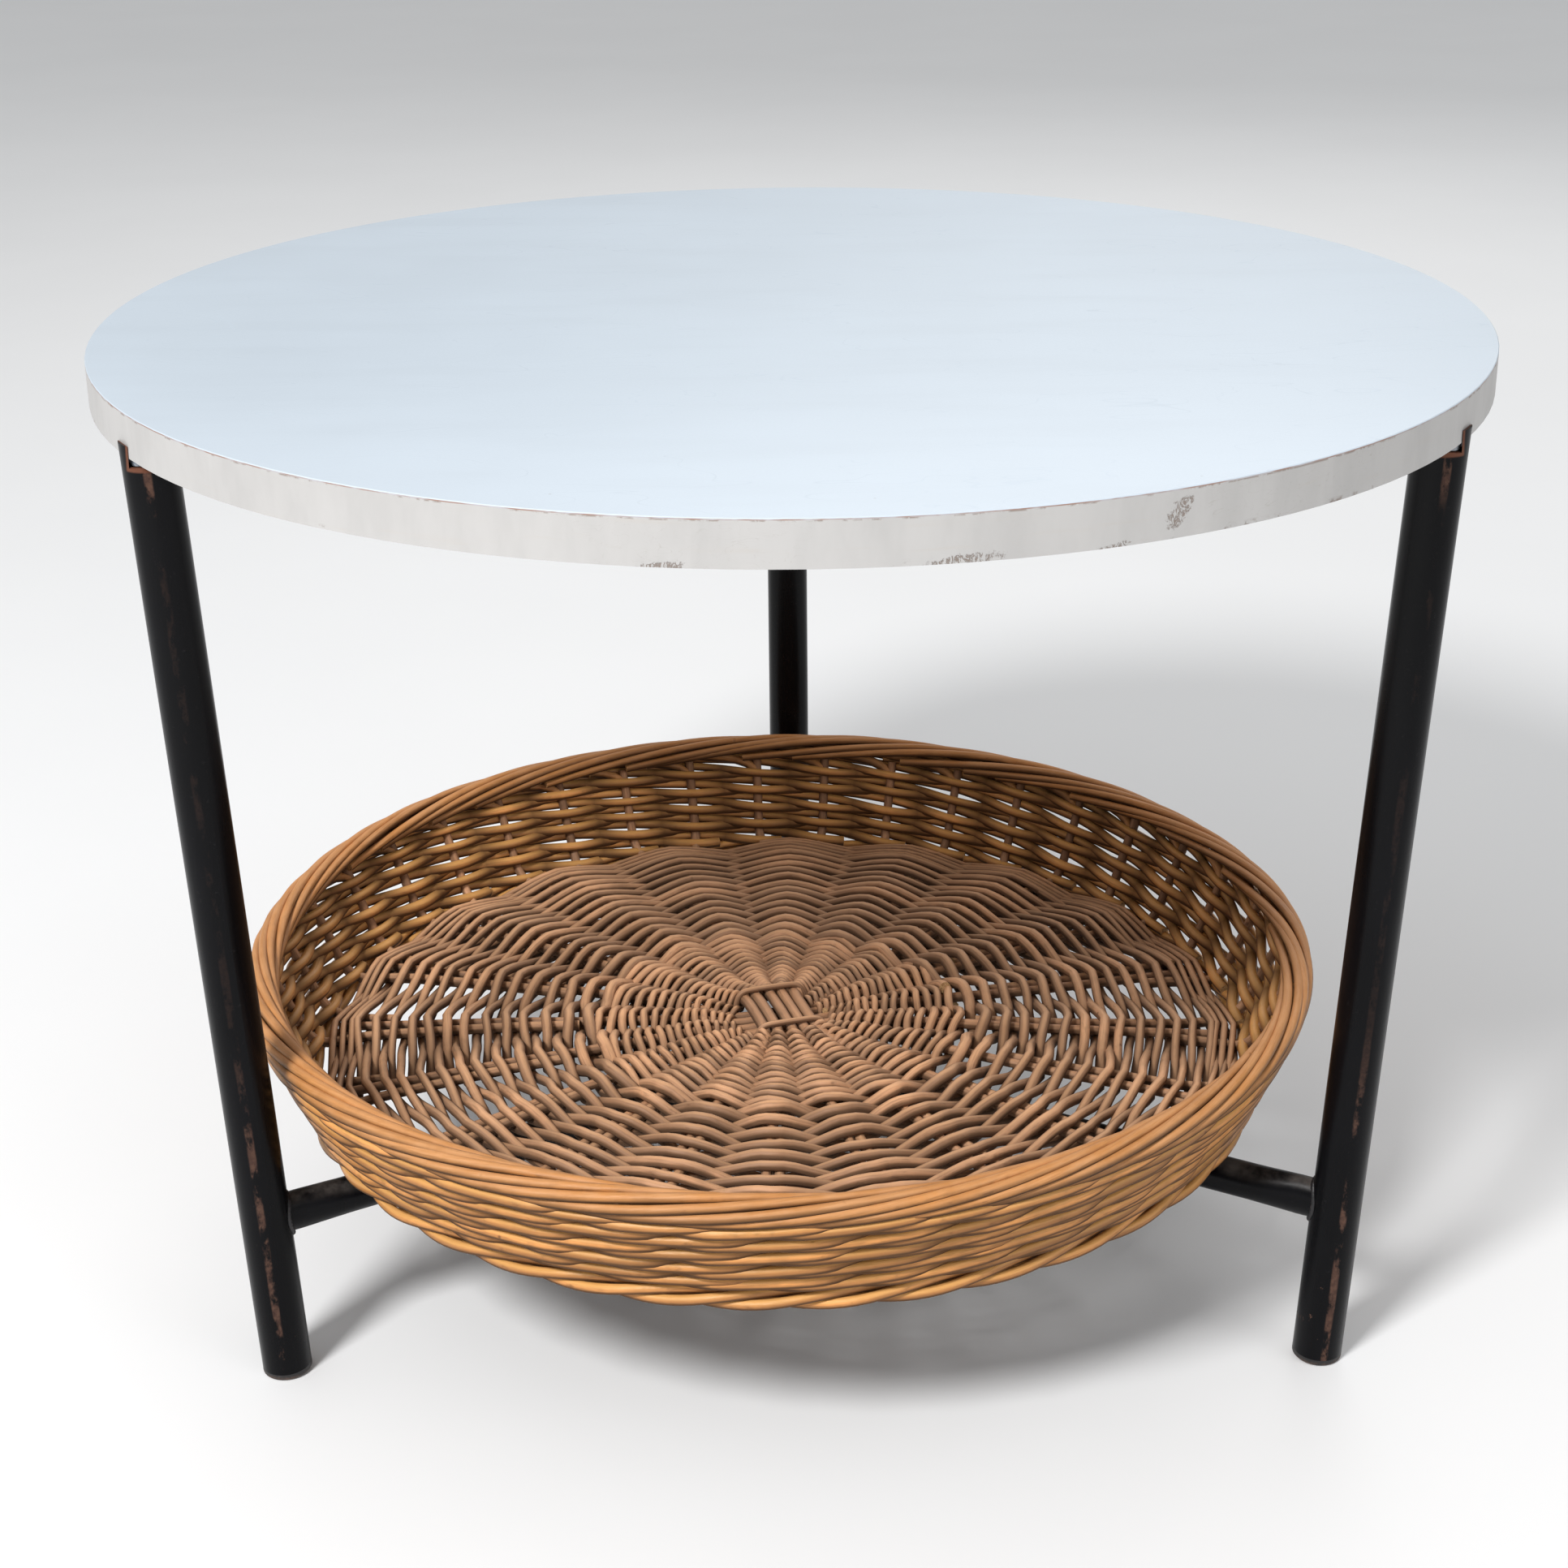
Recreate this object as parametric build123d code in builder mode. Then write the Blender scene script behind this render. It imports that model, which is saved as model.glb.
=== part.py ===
"""Round coffee table on three tube legs, with a loose woven willow tray on its stretchers.

Millimetres, +Z up. The origin is on the floor, under the middle of the table top.
The rear leg stands on +Y, the other two to the left and right of -Y.
"""

from build123d import *
from math import atan2, cos, radians, sin, tan
import os

# ---- table top -------------------------------------------------------------------------
top_diameter = 600
table_height = 450
top_thickness = 18
laminate_thickness = 0.8
backing_thickness = 0.8
band_thickness = 1.2
glue_gap = 0.1  # between the board's edge and the band round it
laminate_arris = 0.3  # small bevel round the laminate's upper edge

# ---- legs ------------------------------------------------------------------------------
leg_angles = {"rear": 90, "left": 210, "right": 330}
leg_diameter = 22
leg_wall = 1.5
foot_inset = 30  # of each leg's axis at the floor, inside the table top's edge
seat_clearance = 0.3  # between the table top's edge and the lip of a leg
lip_height = 5  # how far the lip stands up beside the table top's edge
seat_slope_drop = 4  # the notch under the table top falls this much towards the lip

# ---- foot caps -------------------------------------------------------------------------
cap_thickness = 3
cap_rounding = 1.2
cap_spigot_length = 14
cap_spigot_clearance = 0.1

# ---- tabs that tie the legs to the table top ---------------------------------------------
tab_thickness = 3
tab_width = 15
tab_inward_length = 34  # from the leg's inner face towards the middle
tab_slot_clearance = 0.15
tab_corner_radius = 3
screw_diameter = 4
screw_length = 15  # from under the head to the tip
screw_tip_length = 3
screw_head_diameter = 8
screw_head_height = 2.4
screw_spacing = 16
screw_edge_distance = 9  # from the tab's inner end to the first screw
screw_clearance = 0.25  # round a screw in the tab
pilot_clearance = 0.05  # round a screw in the board

# ---- stretchers ------------------------------------------------------------------------
stretcher_height = 80  # of the arms' axes above the floor
stretcher_diameter = 16.5
stretcher_wall = 1.5
flare_height = 19
flare_width = 13
flare_length = 22
flare_end_length = 6  # straight part of the flare, before the leg

# ---- willow tray -----------------------------------------------------------------------
tray_offset = (-8, 0)  # the loose tray stands a little to the left
rest_gap = 0.3  # between the arms and the tray
tray_height = 66
tray_base_diameter = 463
tray_rim_diameter = 506
base_thickness = 15
base_crown = 9  # how much higher the base is in the middle
weave_gap = 0.2  # between neighbouring woven pieces
stick_diameter = 7
stick_count = 5  # in each of the two crossing bundles
slath_turn = 16  # how far the cross of base sticks is turned
slath_half_length = 17
stick_gap = 0.4  # between neighbouring sticks of a bundle, in the middle
slath_bend_radius = 12
pairing_inner_radius = 29
stick_end_margin = 5
upsett_width = 11
upsett_height = 11
wall_thickness = 10
stake_diameter = 5.5
stake_clearance = 0.15
stake_seat_depth = 4
border_width = 16
border_height = 15
border_rounding = 6

# ---- values worked out from the ones above -------------------------------------------------
top_radius = top_diameter / 2
leg_radius = leg_diameter / 2
underside = table_height - top_thickness
lip_top = underside + lip_height
board_radius = top_radius - band_thickness - glue_gap
seat_radius = top_radius + seat_clearance
leg_top_radius = seat_radius + leg_wall - leg_radius
foot_circle_radius = top_radius - foot_inset
leg_lean = atan2(leg_top_radius - foot_circle_radius, lip_top)
foot_rise = (leg_radius - cap_rounding) * sin(leg_lean)
leg_length = (lip_top - foot_rise) / cos(leg_lean)
stretcher_radius = stretcher_diameter / 2
tray_bottom = stretcher_height + stretcher_radius + rest_gap
tray_top = tray_bottom + tray_height
tray_base_radius = tray_base_diameter / 2
tray_rim_radius = tray_rim_diameter / 2
upsett_middle_radius = tray_base_radius - upsett_width / 2
base_radius = tray_base_radius - upsett_width - weave_gap
wall_bottom = tray_bottom + upsett_height
wall_top = tray_top - border_height
border_middle_radius = tray_rim_radius - border_width / 2
slath_spacing = stick_diameter + stick_gap
stick_angle_step = 360 / (4 * stick_count)
stake_count = 8 * stick_count
tray_plane = Plane(origin=(*tray_offset, 0))
tray_axis = Axis(tray_plane.origin, (0, 0, 1))
tray_section = Plane(origin=tray_plane.origin, x_dir=(1, 0, 0), z_dir=(0, -1, 0))


def save(part, name):
    """Labels a finished piece and writes it to its own file."""
    part.label = name
    export_step(part, f"parts/{name}.step")


def direction(angle):
    """The level unit vector at an angle about +Z."""
    return Vector(cos(radians(angle)), sin(radians(angle)), 0)


def radial_plane(angle, origin=(0, 0, 0)):
    """An upright plane through +Z: its x runs outwards at the angle, and its y is up."""
    outward = direction(angle)
    return Plane(origin=origin, x_dir=outward, z_dir=outward.cross(Vector(0, 0, 1)))


def across_plane(angle, distance, height):
    """A plane that faces outwards at the angle: its x is level, and its y is up."""
    outward = direction(angle)
    origin = outward * distance + Vector(0, 0, height)
    return Plane(origin=origin, x_dir=Vector(0, 0, 1).cross(outward), z_dir=outward)


def leg_plane(angle, along=0):
    """A plane square to a leg's axis, at a distance along it from the underside of the foot cap."""
    outward = direction(angle)
    axis = outward * sin(leg_lean) + Vector(0, 0, cos(leg_lean))
    foot = outward * foot_circle_radius + Vector(0, 0, foot_rise)
    return Plane(origin=foot + axis * along, x_dir=Vector(0, 0, 1).cross(outward), z_dir=axis)


def screw_radii():
    """Distances of a tab's screws from the table's middle."""
    first = tab_inner_radius() + screw_edge_distance
    return (first, first + screw_spacing)


def leg_axis_radius(height):
    """Distance of a leg's axis from the table's middle at a height."""
    return foot_circle_radius + (height - foot_rise) * tan(leg_lean)


def tab_inner_radius():
    return leg_axis_radius(underside) - leg_radius - tab_inward_length


def stick_points(index, bundle):
    """End, bend, bend and end of one base stick."""
    middle = (stick_count - 1) / 2
    side = (index - middle) * slath_spacing
    spread = (index - middle) * stick_angle_step
    turn = slath_turn + 90 * bundle
    low = tray_bottom + base_thickness / 2
    layer = (bundle - 0.5) * (stick_diameter + weave_gap)
    high = low + base_crown + layer
    reach = base_radius - stick_end_margin
    along = direction(turn)
    aside = direction(turn + 90)
    points = [
        direction(turn + spread) * reach + Vector(0, 0, low),
        along * slath_half_length + aside * side + Vector(0, 0, high),
        along * -slath_half_length + aside * side + Vector(0, 0, high),
        direction(turn + 180 - spread) * reach + Vector(0, 0, low),
    ]
    return [tray_plane.from_local_coords(point) for point in points]


# ---- table top -------------------------------------------------------------------------
def make_laminate():
    with BuildPart() as laminate:
        with BuildSketch(Plane.XY.offset(table_height - laminate_thickness)):
            Circle(top_radius)
        extrude(amount=laminate_thickness)
        chamfer(laminate.faces().sort_by(Axis.Z)[-1].edges(), laminate_arris)
    save(laminate.part, "top_laminate")


def pilot_holes():
    """The screws' holes, as discs in the plane of the table top's underside."""
    with BuildSketch(Plane.XY.offset(underside)) as holes:
        for angle in leg_angles.values():
            for radius in screw_radii():
                with Locations(direction(angle) * radius):
                    Circle(screw_diameter / 2 + pilot_clearance)
    return holes.sketch


def make_board():
    with BuildPart() as board:
        with BuildSketch(Plane.XY.offset(underside + backing_thickness)):
            Circle(board_radius)
        extrude(amount=top_thickness - laminate_thickness - backing_thickness)
        extrude(pilot_holes(), amount=screw_length - tab_thickness, mode=Mode.SUBTRACT)
    save(board.part, "top_board")


def make_backing():
    with BuildPart() as backing:
        with BuildSketch(Plane.XY.offset(underside)):
            Circle(board_radius)
        extrude(amount=backing_thickness)
        extrude(pilot_holes(), amount=backing_thickness, mode=Mode.SUBTRACT)
    save(backing.part, "underside_backing")


def make_edge_band():
    with BuildPart() as band:
        with BuildSketch(Plane.XY.offset(underside)):
            Circle(top_radius)
            Circle(top_radius - band_thickness, mode=Mode.SUBTRACT)
        extrude(amount=top_thickness - laminate_thickness)
    save(band.part, "edge_band")


# ---- legs ------------------------------------------------------------------------------
def make_leg(name, angle):
    """A tube whose upper end is notched for the table top, with a lip outside it."""
    inner_side = leg_axis_radius(underside) - leg_radius
    clear = leg_radius
    with BuildPart() as leg:
        with BuildSketch(leg_plane(angle, cap_thickness)):
            Circle(leg_radius)
            Circle(leg_radius - leg_wall, mode=Mode.SUBTRACT)
        extrude(amount=leg_length - cap_thickness + clear)
        with BuildSketch(Plane.XY.offset(lip_top)):
            with Locations(direction(angle) * leg_top_radius):
                Circle(leg_diameter)
        extrude(amount=leg_diameter, mode=Mode.SUBTRACT)
        with BuildSketch(radial_plane(angle)):
            with BuildLine():
                Polyline(
                    (inner_side - clear, underside),
                    (inner_side, underside),
                    (seat_radius, underside - seat_slope_drop),
                    (seat_radius, lip_top + clear),
                    (inner_side - clear, lip_top + clear),
                    close=True,
                )
            make_face()
        revolve(axis=Axis.Z, mode=Mode.SUBTRACT)
        slot_plane = across_plane(angle, inner_side - clear, underside - tab_thickness / 2)
        with BuildSketch(slot_plane):
            Rectangle(tab_width + 2 * tab_slot_clearance, tab_thickness + 2 * tab_slot_clearance)
        extrude(amount=clear + leg_radius, mode=Mode.SUBTRACT)
    save(leg.part, f"leg_{name}")


def make_foot_cap(name, angle):
    with BuildPart() as cap:
        with BuildSketch(leg_plane(angle)):
            Circle(leg_radius)
        extrude(amount=cap_thickness)
        fillet(cap.edges().sort_by(Axis.Z)[0], cap_rounding)
        with BuildSketch(leg_plane(angle, cap_thickness)):
            Circle(leg_radius - leg_wall - cap_spigot_clearance)
        extrude(amount=cap_spigot_length)
    save(cap.part, f"foot_cap_{name}")


# ---- tabs and screws -------------------------------------------------------------------
def make_tab(name, angle):
    """A flat strip under the table top, which runs through a slot into the leg."""
    inner = tab_inner_radius()
    outer = seat_radius - leg_wall - tab_slot_clearance
    with BuildPart() as tab:
        with BuildSketch(Plane.XY.offset(underside - tab_thickness)):
            with Locations(direction(angle) * (inner + outer) / 2):
                RectangleRounded(outer - inner, tab_width, tab_corner_radius, rotation=angle)
            for radius in screw_radii():
                with Locations(direction(angle) * radius):
                    Circle(screw_diameter / 2 + screw_clearance, mode=Mode.SUBTRACT)
        extrude(amount=tab_thickness)
    save(tab.part, f"mounting_tab_{name}")


def make_tab_screws():
    """Six dome-headed wood screws, two through each tab."""
    head_bottom = underside - tab_thickness
    shank_top = head_bottom + screw_length
    screw_radius = screw_diameter / 2
    head_radius = screw_head_diameter / 2
    with BuildPart() as screws:
        for angle in leg_angles.values():
            for radius in screw_radii():
                place = direction(angle) * radius
                with BuildSketch(radial_plane(angle, place)):
                    with BuildLine():
                        ThreePointArc(
                            (0, head_bottom - screw_head_height),
                            (head_radius * 0.6, head_bottom - screw_head_height * 0.78),
                            (head_radius, head_bottom),
                        )
                        Polyline(
                            (head_radius, head_bottom),
                            (screw_radius, head_bottom),
                            (screw_radius, shank_top - screw_tip_length),
                            (0, shank_top),
                            (0, head_bottom - screw_head_height),
                        )
                    make_face()
                revolve(axis=Axis(place, (0, 0, 1)))
    save(screws.part, "tab_screws")


# ---- stretchers ------------------------------------------------------------------------
def make_stretcher(name, angle):
    """A round arm from the middle to a leg, flattened and flared at the leg, and mitred in the middle."""
    leg_axis = leg_axis_radius(stretcher_height)
    flare_end = leg_axis - leg_radius - flare_end_length
    flare_start = flare_end - flare_length
    with BuildPart() as arm:
        for inset, mode in ((0, Mode.ADD), (stretcher_wall, Mode.SUBTRACT)):
            with BuildSketch(across_plane(angle, 0, stretcher_height)):
                Circle(stretcher_radius - inset)
            extrude(amount=flare_start, mode=mode)
            with BuildSketch(across_plane(angle, flare_start, stretcher_height)):
                Circle(stretcher_radius - inset)
            with BuildSketch(across_plane(angle, flare_end, stretcher_height)):
                Ellipse(flare_width / 2 - inset, flare_height / 2 - inset)
            loft(mode=mode)
            with BuildSketch(across_plane(angle, flare_end, stretcher_height)):
                Ellipse(flare_width / 2 - inset, flare_height / 2 - inset)
            extrude(amount=leg_axis - flare_end, mode=mode)
        with BuildSketch(leg_plane(angle)):
            Circle(leg_radius)
        extrude(amount=leg_length, mode=Mode.SUBTRACT)
        for side in (-1, 1):
            cut = direction(angle + side * 60)
            facing = direction(angle - side * 30)
            split(bisect_by=Plane(origin=(0, 0, 0), x_dir=cut, z_dir=facing), keep=Keep.TOP)
    save(arm.part, f"stretcher_{name}")


# ---- willow tray -----------------------------------------------------------------------
def make_base_sticks():
    """Two bundles of sticks that cross in the middle and fan out to the edge of the base."""
    with BuildPart() as sticks:
        for bundle in range(2):
            for index in range(stick_count):
                with BuildLine() as path:
                    FilletPolyline(*stick_points(index, bundle), radius=slath_bend_radius)
                with BuildSketch(Plane(origin=path.line @ 0, z_dir=path.line % 0)):
                    Circle(stick_diameter / 2)
                sweep(path=path.line)
    save(sticks.part, "base_sticks")


def make_base_weave():
    """The woven base, crowned in the middle, with a passage for each end of the sticks."""
    edge_slope = base_crown / base_radius
    inner_rise = base_crown - edge_slope * pairing_inner_radius
    with BuildPart() as weave:
        with BuildSketch(tray_section):
            with BuildLine():
                Polyline(
                    (pairing_inner_radius, tray_bottom + inner_rise),
                    (base_radius, tray_bottom),
                    (base_radius, tray_bottom + base_thickness),
                    (pairing_inner_radius, tray_bottom + base_thickness + inner_rise),
                    close=True,
                )
            make_face()
        revolve(axis=tray_axis)
        for bundle in range(2):
            for index in range(stick_count):
                points = stick_points(index, bundle)
                for end, bend in ((points[0], points[1]), (points[3], points[2])):
                    with BuildSketch(Plane(origin=bend, z_dir=end - bend)):
                        Circle(stick_diameter / 2 + weave_gap)
                    extrude(amount=(end - bend).length + stick_end_margin, mode=Mode.SUBTRACT)
    save(weave.part, "base_weave")


def stake_ends():
    """Lower and upper end of every side stake."""
    ends = []
    for index in range(stake_count):
        outward = direction(slath_turn + (index + 0.5) * 360 / stake_count)
        low = outward * upsett_middle_radius + Vector(0, 0, wall_bottom - stake_seat_depth)
        high = outward * border_middle_radius + Vector(0, 0, wall_top)
        high = high + (high - low).normalized() * stake_seat_depth
        ends.append((tray_plane.from_local_coords(low), tray_plane.from_local_coords(high)))
    return ends


def stake_rods(slack):
    """All the stakes as plain rods, thicker and longer by the slack all round."""
    with BuildPart() as rods:
        for low, high in stake_ends():
            along = (high - low).normalized()
            with BuildSketch(Plane(origin=low - along * slack, z_dir=along)):
                Circle(stake_diameter / 2 + slack)
            extrude(amount=(high - low).length + 2 * slack)
    return rods.part


def make_side_stakes():
    """Upright stakes, leaning outwards, set in the upsett and the border."""
    with BuildPart() as stakes:
        add(stake_rods(0))
    save(stakes.part, "side_stakes")


def make_tray_ring(name, outline, roundings):
    """A ring turned from an outline of (radius, height) points, with the stakes' passages."""
    with BuildPart() as ring:
        with BuildSketch(tray_section) as profile:
            with BuildLine():
                Polyline(*outline, close=True)
            make_face()
            for corner, radius in roundings.items():
                nearest = profile.vertices().sort_by_distance((*outline[corner], 0))[0]
                fillet(nearest, radius)
        revolve(axis=tray_axis)
        add(stake_passages, mode=Mode.SUBTRACT)
    save(ring.part, name)


def make_upsett():
    inner = upsett_middle_radius - upsett_width / 2
    outer = upsett_middle_radius + upsett_width / 2
    outline = [(inner, tray_bottom), (outer, tray_bottom), (outer, wall_bottom), (inner, wall_bottom)]
    make_tray_ring("upsett_ring", outline, {1: upsett_width * 0.4, 0: upsett_width * 0.2})


def make_side_weave():
    half = wall_thickness / 2
    outline = [
        (upsett_middle_radius - half, wall_bottom),
        (upsett_middle_radius + half, wall_bottom),
        (border_middle_radius + half, wall_top),
        (border_middle_radius - half, wall_top),
    ]
    make_tray_ring("side_weave", outline, {})


def make_border():
    inner = border_middle_radius - border_width / 2
    outer = border_middle_radius + border_width / 2
    outline = [(inner, wall_top), (outer, wall_top), (outer, tray_top), (inner, tray_top)]
    lower = border_rounding / 3
    make_tray_ring("rolled_border", outline, {0: lower, 1: lower, 2: border_rounding, 3: border_rounding})


os.makedirs("parts", exist_ok=True)
make_laminate()
make_board()
make_backing()
make_edge_band()
for leg_name, leg_angle in leg_angles.items():
    make_leg(leg_name, leg_angle)
    make_foot_cap(leg_name, leg_angle)
    make_tab(leg_name, leg_angle)
    make_stretcher(leg_name, leg_angle)
make_tab_screws()
make_base_sticks()
make_base_weave()
make_side_stakes()
stake_passages = stake_rods(stake_clearance)
make_upsett()
make_side_weave()
make_border()
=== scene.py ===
"""A round coffee table on three painted tube legs, with a loose willow tray on its stretcher.

The frame gives every piece's place. This file makes the willow work rod by rod, adds the welds,
and gives all the pieces their finishes, then sets a plain studio round them.
"""

import math

import bpy
import numpy as np
from mathutils import Matrix, Vector


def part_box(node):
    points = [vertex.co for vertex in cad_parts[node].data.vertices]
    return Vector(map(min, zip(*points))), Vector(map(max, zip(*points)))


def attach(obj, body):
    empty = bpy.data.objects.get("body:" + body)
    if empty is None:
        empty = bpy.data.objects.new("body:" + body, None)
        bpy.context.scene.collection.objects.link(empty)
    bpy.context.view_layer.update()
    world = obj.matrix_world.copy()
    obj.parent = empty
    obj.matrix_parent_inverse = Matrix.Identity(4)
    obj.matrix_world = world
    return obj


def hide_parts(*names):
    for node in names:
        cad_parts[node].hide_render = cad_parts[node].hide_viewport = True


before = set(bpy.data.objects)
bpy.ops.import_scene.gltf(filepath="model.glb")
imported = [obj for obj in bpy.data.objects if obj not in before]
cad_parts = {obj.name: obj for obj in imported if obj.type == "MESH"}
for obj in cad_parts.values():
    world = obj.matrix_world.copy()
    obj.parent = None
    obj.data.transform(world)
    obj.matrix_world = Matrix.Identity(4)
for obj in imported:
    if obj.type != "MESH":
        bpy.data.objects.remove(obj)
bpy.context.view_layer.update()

bl_info = {
    "name": "Coffee table with willow tray",
    "version": (1, 0, 0),
    "blender": (4, 5, 0),
    "location": "View3D > Sidebar > Table",
    "description": "Willow tray, welds and finishes for a round coffee table",
    "category": "Object",
}

MM = 0.001
HALF_MM = 500  # from a thickness in metres to half of it in millimetres

# places taken from the frame, in millimetres
WEAVE_LOW, WEAVE_HIGH = (corner * 1000 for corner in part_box("base_weave"))
UPSETT_LOW, UPSETT_HIGH = (corner * 1000 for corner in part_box("upsett_ring"))
BORDER_LOW, BORDER_HIGH = (corner * 1000 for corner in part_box("rolled_border"))
TOP_LOW, TOP_HIGH = (corner * 1000 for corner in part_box("edge_band"))
CAP_LOW, CAP_HIGH = (corner * 1000 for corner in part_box("foot_cap_rear"))
ARM_LOW, ARM_HIGH = (corner * 1000 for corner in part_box("stretcher_rear"))

TRAY_MIDDLE = (UPSETT_LOW + UPSETT_HIGH) / 2
TRAY_BOTTOM = UPSETT_LOW.z
BASE_RADIUS = (WEAVE_HIGH.x - WEAVE_LOW.x) / 2
UPSETT_RADIUS = (UPSETT_HIGH.x - UPSETT_LOW.x) / 2 - 5.5
BORDER_RADIUS = (BORDER_HIGH.x - BORDER_LOW.x) / 2 - 8
BORDER_MIDDLE = (BORDER_LOW.z + BORDER_HIGH.z) / 2
WALL_BOTTOM, WALL_TOP = UPSETT_HIGH.z, BORDER_LOW.z
TOP_RADIUS = (TOP_HIGH.x - TOP_LOW.x) / 2

STAKES = 40
SPOKES = 20
CROSS_TURN = math.radians(16)
SPOKE_STEP = 2 * math.pi / SPOKES
STAKE_STEP = 2 * math.pi / STAKES

BASE_MIDDLE = TRAY_BOTTOM + 8.4  # height of the sticks at the base's edge
CROWN = WEAVE_HIGH.z - TRAY_BOTTOM - 15  # how much higher they are in the middle
LAYER = 3.5  # how far the two bundles of the cross lie above and below the middle
LAYER_ENDS = 17, 44  # radii between which the two bundles come to one level
CROSS_HALF = 24  # half the length of the cross's straight sticks
CROSS_SPACING = 5.6  # from stick to stick in a bundle
LOOP_HALF = 18.6  # half the side of the square loop that binds the cross
PAIRING = 22.5, 90  # first and last radius of the fine rows
RANDING = 84, 207  # and of the thicker rows
EDGE_ROWS = 207, 220.5  # and of the fine rows at the base's edge
SIDE_LEAN = (BORDER_RADIUS - UPSETT_RADIUS) / (WALL_TOP - WALL_BOTTOM)  # outward, for 1 up

# the frame's measures at the welds, which its boxes don't give
LEG_RADIUS = 11.0
LEG_SLOPE = math.tan(math.radians(2.72))
ARM_HALF_WIDTH = 6.5


def paint(red, green, blue):
    """A display colour of 0 to 255 as linear light."""
    parts = np.array([red, green, blue]) / 255
    linear = np.where(parts > 0.04045, ((parts + 0.055) / 1.055) ** 2.4, parts / 12.92)
    return tuple(float(part) for part in linear)


# ---- what a user may change ------------------------------------------------------------
def rod_size(name, description, default, least, most):
    """A length in metres, or two of them for a size that changes on its way outwards."""
    said = {"name": name, "description": description, "default": default, "min": least,
            "max": most, "unit": "LENGTH"}
    if isinstance(default, tuple):
        return bpy.props.FloatVectorProperty(size=2, **said)
    return bpy.props.FloatProperty(**said)


def tint(name, description, default):
    """A colour of linear light."""
    return bpy.props.FloatVectorProperty(
        name=name, description=description, default=default, subtype="COLOR")


class TraySizes(bpy.types.PropertyGroup):
    """Sizes of the willow rods, in metres."""

    pairing_diameters: rod_size("Pairing rods", "Thickness of the fine rods, inside and outside",
                                (0.0029, 0.0046), 0.002, 0.006)
    pairing_pitches: rod_size("Pairing pitches", "Outward step of a fine rod in a round",
                              (0.0039, 0.0062), 0.003, 0.01)
    weaver_diameters: rod_size("Base weavers", "Thickness of the base's rods, inside and outside",
                               (0.0055, 0.0042), 0.002, 0.008)
    weaver_pitches: rod_size("Weaver pitches", "Outward step of a base rod in a round",
                             (0.0106, 0.0082), 0.006, 0.02)
    tie_diameter: rod_size("Tie", "Thickness of the rod that binds the cross", 0.003, 0.002, 0.004)
    stick_diameter: rod_size("Base stick", "Thickness of the base sticks in the cross",
                             0.0055, 0.003, 0.008)
    stake_diameter: rod_size("Side stake", "Thickness of the upright stakes", 0.0055, 0.003, 0.007)
    side_diameter: rod_size("Side weaver", "Butt thickness of the rods that fill the side",
                            0.0057, 0.003, 0.006)
    border_diameter: rod_size("Border rod", "Thickness of the rods rolled into the border",
                              0.0049, 0.003, 0.007)
    side_rise: rod_size("Side rise", "How far a side weaver climbs from stake to stake",
                        0.0029, 0.002, 0.006)


class TableColours(bpy.types.PropertyGroup):
    """Main colour of each finish."""

    laminate: tint("Laminate", "Table top", paint(188, 199, 209))
    band: tint("Edge band", "Strip round the top", paint(181, 179, 177))
    black: tint("Paint", "Legs and stretcher", paint(5, 5, 7))
    # also the colour of the painted reflection in the front legs' stripe
    bare_and_sheen: tint("Bare metal", "Where paint has rubbed off", paint(98, 72, 60))
    dusty_willow: tint("Base willow", "Dusty rods of the base", paint(204, 152, 112))
    golden_willow: tint("Side willow", "Golden rods of the side", paint(216, 148, 84))
    floor: tint("Floor", "Studio floor", (0.9, 0.9, 0.9))


# ---- shader sums -----------------------------------------------------------------------
class Link:
    """A node's output. Sums on it add Math nodes, and give a new Link."""

    def __init__(self, finish, socket):
        self.finish = finish
        self.socket = socket

    def math(self, operation, *terms):
        return self.finish.node("ShaderNodeMath", {"operation": operation}, dict(enumerate(terms)))

    def __add__(self, other):
        return self.math("ADD", self, other)

    def __radd__(self, other):
        return self.math("ADD", other, self)

    def __sub__(self, other):
        return self.math("SUBTRACT", self, other)

    def __rsub__(self, other):
        return self.math("SUBTRACT", other, self)

    def __mul__(self, other):
        return self.math("MULTIPLY", self, other)

    def __rmul__(self, other):
        return self.math("MULTIPLY", other, self)

    def __truediv__(self, other):
        return self.math("DIVIDE", self, other)

    def __rtruediv__(self, other):
        return self.math("DIVIDE", other, self)

    def __pow__(self, other):
        return self.math("POWER", self, other)

    def __abs__(self):
        return self.math("ABSOLUTE", self)


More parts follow.
